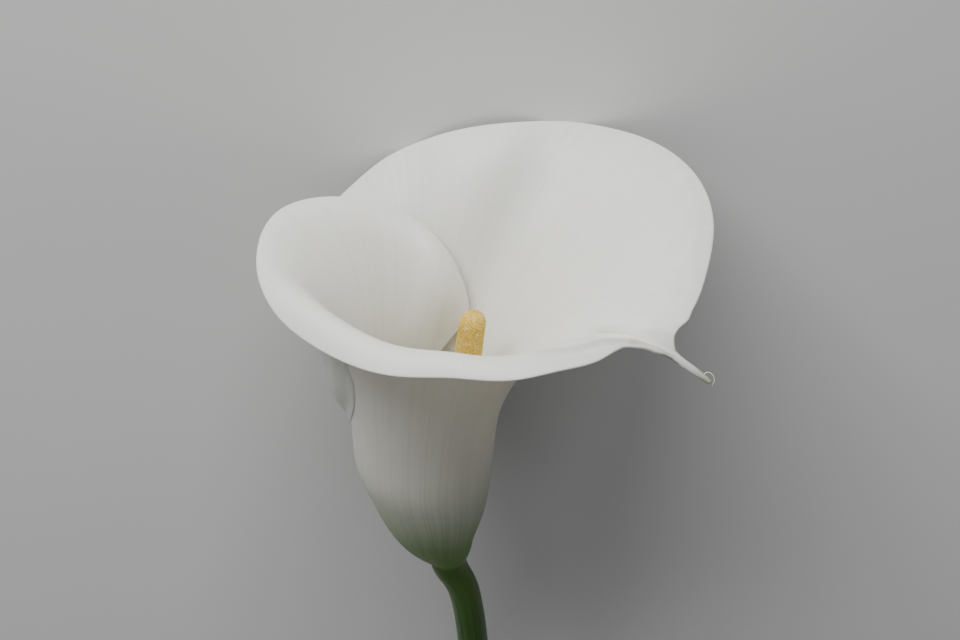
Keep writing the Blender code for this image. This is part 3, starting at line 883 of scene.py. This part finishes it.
share = np.linspace(0, 1, STEM_RINGS) ** STEM_CROWDING
line = along(STEM_LINE, share)
radius = np.interp(share, *STEM_RADIUS.T)
turn = np.linspace(0, 2 * math.pi, STEM_SIDES, endpoint=False)
ribs = sum(height * np.sin(number * turn + lead) for number, height, lead in STEM_RIBS)
stem_radius = radius[None, :] + ribs[:, None] * ramp(share, 0.0, STEM_RIBS_FULL)[None, :]
points = rings_round(line, stem_radius, STEM_SIDES, side_hint=(0.0, 1.0, 0.0))

# The cut end: the skin turns over a sharp edge, and the pith inside it is a little hollow
CUT_RINGS = 16
PITH_DEEP = 0.00035
PITH_FLAT = 0.5                       # share of the radius inside which it is level
end_way = unit(line[-1] - line[-2])
caps = [points]
for k in range(1, CUT_RINGS):
    inner = 1 - k / CUT_RINGS
    hollow = PITH_DEEP * ramp(inner, 1.0, PITH_FLAT)
    caps.append((line[-1] + (points[:, -1:] - line[-1]) * inner) - end_way * hollow)
points = np.concatenate(caps, axis=1)
rings = points.shape[1]
stem = mesh_object("stem_stalk", laid_down(points).reshape(-1, 3), tube_faces(STEM_SIDES, rings))
stem_place = np.zeros((STEM_SIDES, rings, 3))
stem_place[..., 0] = np.cos(turn)[:, None]
stem_place[..., 1] = np.sin(turn)[:, None]
stem_place[..., 2] = np.concatenate([share, np.ones(CUT_RINGS - 1)])[None, :]
cut_in = np.concatenate([np.zeros(STEM_RINGS), np.arange(1, CUT_RINGS) / CUT_RINGS])
keep_values(stem, "place", "FLOAT_VECTOR", stem_place.reshape(-1, 3))
keep_values(stem, "cut_in", "FLOAT", np.tile(cut_in, STEM_SIDES))
tidy_normals(stem)

tree, shader = material("stalk_green", stem, roughness=0.38)
object_place = plain(tree, "TexCoord")
where = kept(tree, "place")
lines = placed(tree, fibres, Across=9.0, Along=9.0, Sharpness=0.2)
tree.links.new(where.outputs["Vector"], lines.inputs["Place"])
skin = placed(tree, cells, Size=0.0003)
tree.links.new(object_place.outputs["Object"], skin.inputs["Vector"])
skin_green_and_shade = blend_colour(tree, lines.outputs["Lines"], STEM_GREEN_AND_SHADE, STEM_STREAK_AND_SHADE)
split = plain(tree, "SeparateXYZ")
tree.links.new(where.outputs["Vector"], split.inputs[0])
pale = mapped(tree, split.outputs["Z"], From_Min=0.0, From_Max=0.12, To_Min=0.75, To_Max=0.0)
upper_green_and_shade = blend_colour(tree, pale, skin_green_and_shade, STEM_PALE_AND_SHADE)
is_cut = mapped(tree, kept(tree, "cut_in").outputs["Fac"], From_Min=0.08, From_Max=0.22)
pores = plain(tree, "TexVoronoi", Scale=2200.0)
tree.links.new(object_place.outputs["Object"], pores.inputs["Vector"])
pore_mask = mapped(tree, pores.outputs["Distance"], From_Min=0.1, From_Max=0.45)
pith = blend_colour(tree, pore_mask, PITH_PORE, PITH)
whole = blend_colour(tree, is_cut, upper_green_and_shade, pith)
tree.links.new(whole, shader.inputs["Base Color"])
bumped(tree, shader, (lines.outputs["Lines"], 0.3, 0.00008), (skin.outputs["Pillows"], 0.25, 0.00003))
fleshy(shader, weight=0.1, radius=(0.5, 1.0, 0.25), scale=0.001)
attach(stem, "root")
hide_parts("stem")


# The studio: a plain pale floor that the flower lies on, one large soft light low on the side that
# the mouth faces, a weak one overhead, and weak light all round.
FLOOR_SIZE = 12.0
FLOOR_DARK = (0.68, 0.68, 0.675)
FLOOR_LIGHT = (0.72, 0.72, 0.71)
SKY = (0.82, 0.84, 0.86)
SKY_STRENGTH = 0.12
bpy.ops.mesh.primitive_plane_add(size=FLOOR_SIZE, location=(0, 0, 0))
floor = bpy.context.object
floor.name = "floor"
tree, shader = material("pale_floor", floor, roughness=0.75, specular=0.3)
object_place = plain(tree, "TexCoord")
mottle = plain(tree, "TexNoise", Scale=14.0, Detail=4.0)
tree.links.new(object_place.outputs["Object"], mottle.inputs["Vector"])
grey = blend_colour(tree, mottle.outputs["Fac"], FLOOR_DARK, FLOOR_LIGHT)
tree.links.new(grey, shader.inputs["Base Color"])


def soft_light(name, place, target, width, height, watts):
    """Rectangular lamp at a place, turned to face its target."""
    lamp = bpy.data.lights.new(name, "AREA")
    lamp.shape = "RECTANGLE"
    lamp.size = width
    lamp.size_y = height
    lamp.energy = watts
    holder = bpy.data.objects.new(name, lamp)
    holder.location = place
    holder.rotation_euler = (Vector(target) - Vector(place)).to_track_quat("-Z", "Y").to_euler()
    holder.visible_camera = False
    bpy.context.scene.collection.objects.link(holder)


soft_light("sky_side", (-0.24, 0.98, 0.34), (0.0, 0.10, 0.04), width=0.9, height=0.55, watts=14.0)
soft_light("overhead", (-0.25, 0.10, 1.10), (0.0, 0.05, 0.03), width=0.9, height=0.9, watts=1.6)

world = bpy.data.worlds.new("studio")
world.use_nodes = True
world.node_tree.nodes["Background"].inputs["Color"].default_value = (*SKY, 1.0)
world.node_tree.nodes["Background"].inputs["Strength"].default_value = SKY_STRENGTH
bpy.context.scene.world = world


# The camera, where the photo's was: in front of the mouth and above it. The flower lies
# down, so the camera looks down on it and is rolled until the bloom stands upright in the picture.
LENS = 90.0                           # millimetres
SENSOR_WIDTH = 36.0
CAMERA_DISTANCE = 0.58
CAMERA_RISE = math.radians(40.0)      # how far it looks down into the upright flower
LOOKED_AT = (0.0074, 0.0, 0.0808)     # in the flower's own frame
target = laid_down(LOOKED_AT)
up_view = Vector((0.0, math.cos(CAMERA_RISE - LEAN), -math.sin(CAMERA_RISE - LEAN)))
right_view = Vector((1.0, 0.0, 0.0))
back_view = right_view.cross(up_view)
lens = bpy.data.cameras.new("photo_view")
lens.lens = LENS
lens.sensor_width = SENSOR_WIDTH
camera = bpy.data.objects.new("photo_view", lens)
stand = Vector(target) + back_view * CAMERA_DISTANCE
rolled = Matrix((right_view, up_view, back_view)).transposed().to_4x4()
camera.matrix_world = Matrix.Translation(stand) @ rolled
bpy.context.scene.collection.objects.link(camera)
bpy.context.scene.camera = camera

bpy.context.view_layer.update()
